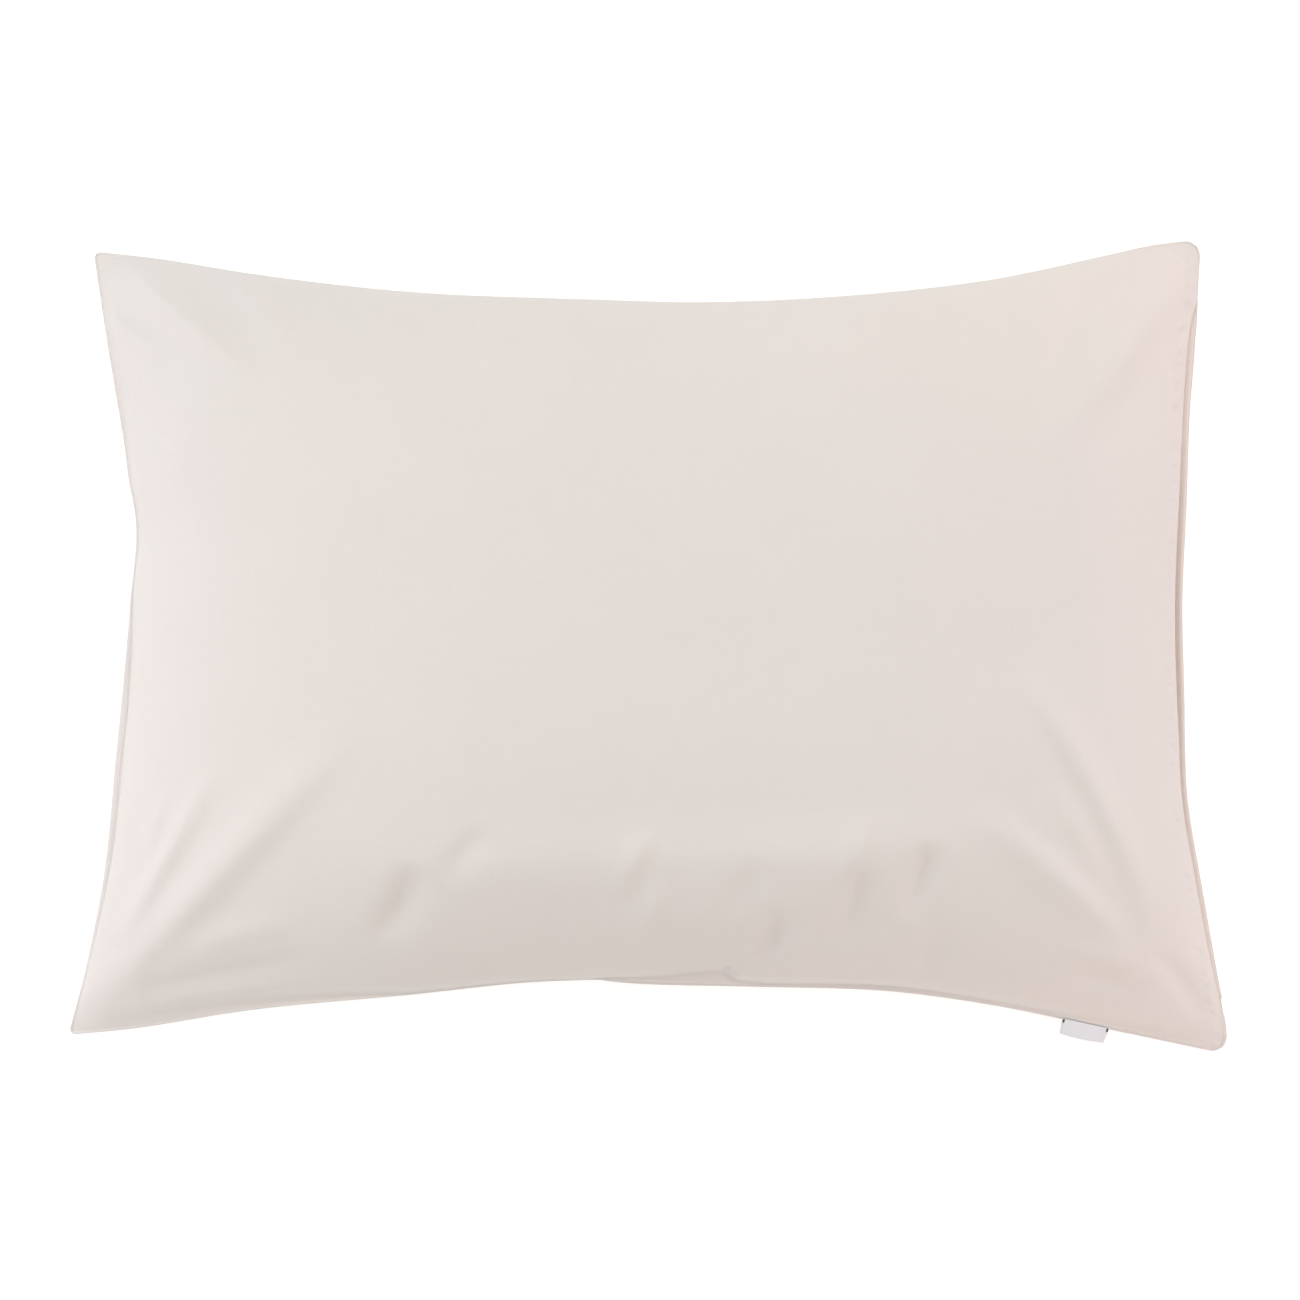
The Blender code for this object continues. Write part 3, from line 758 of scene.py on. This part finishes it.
def outward_ways(u, v):
    """Unit ways out of the outline, in the plane, at points of the rim."""
    at_end = np.abs(u) > ON_RIM
    at_side = np.abs(v) > ON_RIM
    less_u, more_u = [np.clip(u + step, -1, 1) for step in (-SMALL_STEP, SMALL_STEP)]
    less_v, more_v = [np.clip(v + step, -1, 1) for step in (-SMALL_STEP, SMALL_STEP)]
    along_u = outline_point(more_u, v) - outline_point(less_u, v)
    along_v = outline_point(u, more_v) - outline_point(u, less_v)
    along_u /= np.linalg.norm(along_u, axis=-1, keepdims=True)
    along_v /= np.linalg.norm(along_v, axis=-1, keepdims=True)
    from_side = np.stack([along_u[..., 1], -along_u[..., 0]], -1) * -np.sign(v)[..., None]
    from_end = np.stack([along_v[..., 1], -along_v[..., 0]], -1) * np.sign(u)[..., None]
    ways = from_side * at_side[..., None] + from_end * at_end[..., None]
    length = np.linalg.norm(ways, axis=-1, keepdims=True)
    return ways / np.maximum(length, TINY)


def rim_value(is_open, level, column):
    """Read a named column of the rim, between its sewn and its open form."""
    sewn = np.array([getattr(rim, column) for rim in SEWN_RIM])[level]
    opened = np.array([getattr(rim, column) for rim in OPEN_RIM])[level]
    return sewn + (opened - sewn) * is_open


def by_panel(level, front, back):
    """Take the nearer panel's value, and their mean at the rim's middle."""
    below = np.where(level < MIDDLE_LEVEL, back, (front + back) / 2.0)
    return np.where(level > MIDDLE_LEVEL, front, below)


def rim_points(u, v, level):
    """Points of the rim: a turned edge, a groove or slot, and a turned edge."""
    is_open = open_share(u, v)
    places = outline_point(u, v)
    ways = outward_ways(u, v)
    front_x, front_y = turn_shift(u, v, "front")
    back_x, back_y = turn_shift(u, v, "back")
    on_hem = (u > ON_RIM) & (level < MIDDLE_LEVEL)
    out = np.where(on_hem, hem_at(v).proud, 0.0) - rim_value(is_open, level, "inset")
    x = places[..., 0] + by_panel(level, front_x, back_x) + ways[..., 0] * out
    y = places[..., 1] + by_panel(level, front_y, back_y) + ways[..., 1] * out
    return np.stack([x, y, seam_height(u, v) + rim_value(is_open, level, "rise")], -1)


def case_points(u, v, level):
    """Every point of the filled case, by its panel coordinates and level."""
    places = outline_point(u, v)
    x, y = places[..., 0], places[..., 1]
    is_front = level == LEVELS - 1
    front_x, front_y = turn_shift(u, v, "front")
    back_x, back_y = turn_shift(u, v, "back")
    belly_stand = hem_at(v).proud * np.exp(-((1.0 - u) * HALF_LENGTH / TURN_REACH) ** 2)
    points = np.stack([
        np.where(is_front, x + front_x, x + back_x + belly_stand),
        np.where(is_front, y + front_y, y + back_y),
        np.where(is_front, front_height(u, v, x, y), back_height(u, v, x, y)),
    ], -1)
    on_rim = np.maximum(np.abs(u), np.abs(v)) > ON_RIM
    return np.where(on_rim[..., None], rim_points(u, v, level), points)


def cloth_places(u, v):
    """Where each point lies on its flat panel, in metres from its middle."""
    return np.stack([u * PANEL_HALF_LENGTH, v * PANEL_HALF_HEIGHT], -1)


def make_case():
    """The front and back panels on their pillow, sewn round three sides."""
    bm = panel_grids()
    case = add_piece(bm, "cotton_case", cotton_material("cotton", COTTON_COLOUR, True))
    grid = mesh_points(case.data)
    u, v = crowded(grid[:, 0]), crowded(grid[:, 1])
    level = np.rint(grid[:, 2]).astype(int)
    set_mesh_points(case.data, case_points(u, v, level))
    set_cloth_map(case.data, cloth_places(u, v))
    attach(case, "root")
    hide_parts("filled_case")


# ----------------------------------------------------------------- the back hem

HEM_THICKNESS = 0.0012
HEM_WIDTH = 0.0135         # from the front panel's edge, in under it
HEM_COLUMNS = 12
HEM_ROWS = 200
HEM_REACH = 0.86           # share of the open end that the hem runs along
HEM_DROP = 0.0024          # how far the hem lies below the side seams
HEM_DIP_REACH = 0.0038     # how far to each side of the edge its dip is felt
HEM_DROOP = 0.0012         # how far its outer fold hangs
HEM_DROOP_POWER = 4        # higher values keep the droop nearer to that fold
FULL_STAND = 0.004         # the hem droops fully from this stand up
LEAST_STAND = 0.0001       # least stand to divide by


def make_back_hem():
    """The back panel's hem, which stands out under the front panel's edge."""
    bm = bmesh.new()
    bmesh.ops.create_grid(bm, x_segments=HEM_COLUMNS, y_segments=HEM_ROWS, size=1.0)
    # The hem's material is the case's cotton with painted shade in its colour.
    hem = add_piece(bm, "back_hem_fold", cotton_material("hem_cotton", HEM_PAINTED_SHADE_COLOUR, False))
    grid = mesh_points(hem.data)
    v = grid[:, 1] * HEM_REACH
    across = (grid[:, 0] + 1.0) / 2.0
    u = np.ones(len(v))
    places = outline_point(u, v)
    ways = outward_ways(u, v)
    stand = hem_at(v).proud
    out = -HEM_WIDTH + (HEM_WIDTH + stand - HEM_THICKNESS / 2.0) * across
    dip = hem_at(v).dip * np.exp(-(out / HEM_DIP_REACH) ** 2)
    share = np.minimum(stand / FULL_STAND, 1.0)
    past_edge = np.maximum(out / np.maximum(stand, LEAST_STAND), 0.0)
    droop = HEM_DROOP * past_edge ** HEM_DROOP_POWER
    points = np.stack([
        places[:, 0] + ways[:, 0] * out,
        places[:, 1] + ways[:, 1] * out,
        seam_height(u, v) - HEM_DROP - dip - droop * share,
    ], -1)
    set_mesh_points(hem.data, points)
    set_cloth_map(hem.data, np.stack([out, points[:, 1]], -1))
    wall = hem.modifiers.new("Doubled cloth", "SOLIDIFY")
    wall.thickness = HEM_THICKNESS
    wall.offset = 0.0
    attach(hem, "root")
    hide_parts("back_hem")
    return hem


# -------------------------------------------------------------------- the label

LABEL_WIDTH = 0.0292       # along the seam
LABEL_LENGTH = 0.0106      # from its sewn ends to its fold
LABEL_GAP = -0.0010        # from the outline; below 0 it covers the back's edge
LABEL_RAISE = 0.0007       # above the middle of the seam
LABEL_TAPER = 0.06         # share of its width that is lost at the fold
LABEL_FOLD_RADIUS = 0.0006
LABEL_THICKNESS = 0.0004   # one layer of the tape
LABEL_CENTRE_X = 0.2650
LABEL_DROOP = math.radians(20.0)
LABEL_COLUMNS = 24
LABEL_ROWS = 64
LABEL_CURL = 0.0009        # how far its fold curls up and down
LABEL_CURL_BENDS = 1.5     # half waves of that curl across the label
LABEL_CURL_POWER = 2       # higher values keep the curl nearer to the fold


def label_axes():
    """Where the label is sewn in, and its ways along the seam, out and up."""
    length = LOWER_SIDE[-1].x - LOWER_SIDE[0].x
    u_left = 2.0 * (LABEL_CENTRE_X - LABEL_WIDTH / 2.0 - LOWER_SIDE[0].x) / length - 1.0
    u_right = u_left + 2.0 * LABEL_WIDTH / length
    ends = []
    for u in (u_left, u_right):
        place = outline_point(u, -1.0)
        ends.append(Vector((place[0], place[1], float(seam_height(u, -1.0)))))
    seam_way = (ends[1] - ends[0]).normalized()
    flat_way = Vector((seam_way.y, -seam_way.x, 0.0)).normalized()
    down = Vector((0.0, 0.0, -1.0))
    out_way = flat_way * math.cos(LABEL_DROOP) + down * math.sin(LABEL_DROOP)
    up_way = out_way.cross(seam_way)
    root = (ends[0] + ends[1]) / 2.0 + flat_way * LABEL_GAP - down * LABEL_RAISE
    return root, seam_way, out_way, up_way


def folded_tape(travel):
    """How far out and up a tape folded in half lies, by the way along it."""
    straight = LABEL_LENGTH - LABEL_FOLD_RADIUS
    bend = math.pi * LABEL_FOLD_RADIUS
    whole = 2.0 * straight + bend
    way = travel * whole
    if way < straight:
        return way, LABEL_FOLD_RADIUS
    if way > straight + bend:
        return whole - way, -LABEL_FOLD_RADIUS
    turn = (way - straight) / LABEL_FOLD_RADIUS
    return straight + LABEL_FOLD_RADIUS * math.sin(turn), LABEL_FOLD_RADIUS * math.cos(turn)


def make_label():
    """A bare woven tape folded in half, its ends sewn into the lower seam."""
    root, seam_way, out_way, up_way = label_axes()
    bm = bmesh.new()
    bmesh.ops.create_grid(bm, x_segments=LABEL_COLUMNS, y_segments=LABEL_ROWS, size=0.5)
    label = add_piece(bm, "woven_label", label_material())
    grid = mesh_points(label.data)
    points = []
    for along, travel, _ in grid:
        out, up = folded_tape(travel + 0.5)
        share = out / LABEL_LENGTH
        bend = math.cos(along * math.pi * LABEL_CURL_BENDS)
        curl = LABEL_CURL * bend * share ** LABEL_CURL_POWER
        beside = along * LABEL_WIDTH * (1.0 - LABEL_TAPER * share)
        points.append(root + seam_way * beside + out_way * out + up_way * (up + curl))
    set_mesh_points(label.data, np.array(points))
    set_cloth_map(label.data, grid[:, :2] * (LABEL_WIDTH, 2.0 * LABEL_LENGTH))
    wall = label.modifiers.new("Tape thickness", "SOLIDIFY")
    wall.thickness = LABEL_THICKNESS
    wall.offset = 0.0
    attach(label, "root")
    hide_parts("side_label")


# Short dark pieces at both ends of the label's root, put there as painted shadow of the seam's
# opening.
SHADOW_MARK_LENGTH = 0.0022
SHADOW_MARK_RADIUS = 0.00035
SHADOW_MARK_FROM_END = 0.0005   # from the label's end to its outer shadow mark
SHADOW_MARK_SPACING = 0.00063   # between the middles of neighbours
SHADOW_MARK_FROM_SEAM = 0.0013  # from the label's root to the middle of a shadow mark
SHADOW_MARKS_EACH_END = 2
SHADOW_MARK_FACETS = 10


def make_seam_shadow_marks():
    """Short dark pieces at both ends of the label's root: painted shadow of the seam's opening."""
    root, seam_way, out_way, up_way = label_axes()
    bm = bmesh.new()
    surface = LABEL_FOLD_RADIUS + LABEL_THICKNESS / 2.0
    turn = out_way.to_track_quat("Z", "Y").to_matrix().to_4x4()
    for end in (-1.0, 1.0):
        for mark_index in range(SHADOW_MARKS_EACH_END):
            in_from_end = SHADOW_MARK_FROM_END + mark_index * SHADOW_MARK_SPACING
            along = end * (LABEL_WIDTH / 2.0 - in_from_end)
            middle = root + seam_way * along + out_way * SHADOW_MARK_FROM_SEAM + up_way * surface
            place = Matrix.Translation(middle) @ turn
            bmesh.ops.create_cone(bm, cap_ends=True, segments=SHADOW_MARK_FACETS, radius1=SHADOW_MARK_RADIUS,
                                  radius2=SHADOW_MARK_RADIUS, depth=SHADOW_MARK_LENGTH, matrix=place)
    shadow_marks = add_piece(bm, "label_seam_shadows", seam_shadow_material())
    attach(shadow_marks, "root")


# ----------------------------------------------------------- studio and camera

CAMERA_HEIGHT = 2.467
CAMERA_X = 0.0018
CAMERA_Y = -0.0018
LENS = 110.0
SENSOR = 36.0

# Square lamps, each with the length of its side, its power and its linear colour
Lamp = namedtuple("Lamp", "name x y z size power colour")
LAMPS = (
    Lamp("overhead", 0.0, 0.0, 2.4, 1.6, 28.5, (1.0, 0.93, 0.92)),
    Lamp("upper", 0.0, 2.0, 1.3, 1.4, 16.4, (0.83, 0.97, 0.98)),
    Lamp("lower_right", 1.5, -1.4, 1.3, 1.2, 3.8, (0.30, 0.95, 0.85)),
    Lamp("near_left", -0.95, 0.2, 0.45, 0.5, 1.65, (0.90, 0.93, 1.0)),
    Lamp("near_lower_left", -0.95, -0.45, 0.50, 0.5, 2.2, (0.97, 0.97, 1.0)),
    Lamp("near_upper_right", 0.8, 0.75, 0.4, 0.5, 1.1, (1.0, 0.48, 0.28)),
    Lamp("near_right", 0.95, 0.1, 0.50, 0.5, 1.4, (0.86, 0.80, 0.95)),
    Lamp("near_lower_right", 0.7, -0.8, 0.25, 0.4, 1.7, (1.0, 0.62, 0.56)),
)
AIM = Vector((0.0, 0.0, 0.06))     # where every lamp points
WHITE = (1.0, 1.0, 1.0)
WORLD_STRENGTH = 0.15
TABLE_SIZE = 12.0
TABLE_COLOUR = (0.95, 0.95, 0.95)
TABLE_ROUGHNESS = 0.9
TABLE_GLOW = 0.35


def make_camera():
    """A camera straight above the case, as in the photograph."""
    optics = bpy.data.cameras.new("camera")
    optics.lens = LENS
    optics.sensor_width = SENSOR
    camera = bpy.data.objects.new("camera", optics)
    camera.location = (CAMERA_X, CAMERA_Y, CAMERA_HEIGHT)
    bpy.context.scene.collection.objects.link(camera)
    bpy.context.scene.camera = camera


def make_light():
    """Soft lamps that point at the case, and an even pale surround."""
    for lamp in LAMPS:
        light = bpy.data.lights.new(lamp.name, "AREA")
        light.shape = "SQUARE"
        light.size = lamp.size
        light.energy = lamp.power
        light.color = lamp.colour
        holder = bpy.data.objects.new(lamp.name, light)
        holder.location = (lamp.x, lamp.y, lamp.z)
        way = AIM - holder.location
        holder.rotation_euler = way.to_track_quat("-Z", "Y").to_euler()
        bpy.context.scene.collection.objects.link(holder)
    world = bpy.data.worlds.new("studio")
    world.use_nodes = True
    surround = world.node_tree.nodes["Background"]
    surround.inputs["Color"].default_value = linear(WHITE)
    surround.inputs["Strength"].default_value = WORLD_STRENGTH
    bpy.context.scene.world = world
    bpy.context.scene.view_settings.view_transform = "Standard"


def make_table():
    """A plain white table that glows a little, so that shadows stay faint."""
    bm = bmesh.new()
    bmesh.ops.create_grid(bm, x_segments=1, y_segments=1, size=TABLE_SIZE / 2.0)
    shader = Shader("white_table", TABLE_COLOUR, TABLE_ROUGHNESS, sheen=0.0)
    shader.principled.inputs["Emission Color"].default_value = linear(WHITE)
    shader.principled.inputs["Emission Strength"].default_value = TABLE_GLOW
    table = add_piece(bm, "white_table", shader.material)


# ------------------------------------------------------------------------ main

make_camera()
make_light()
make_table()
make_case()
hem = make_back_hem()
make_label()
make_seam_shadow_marks()
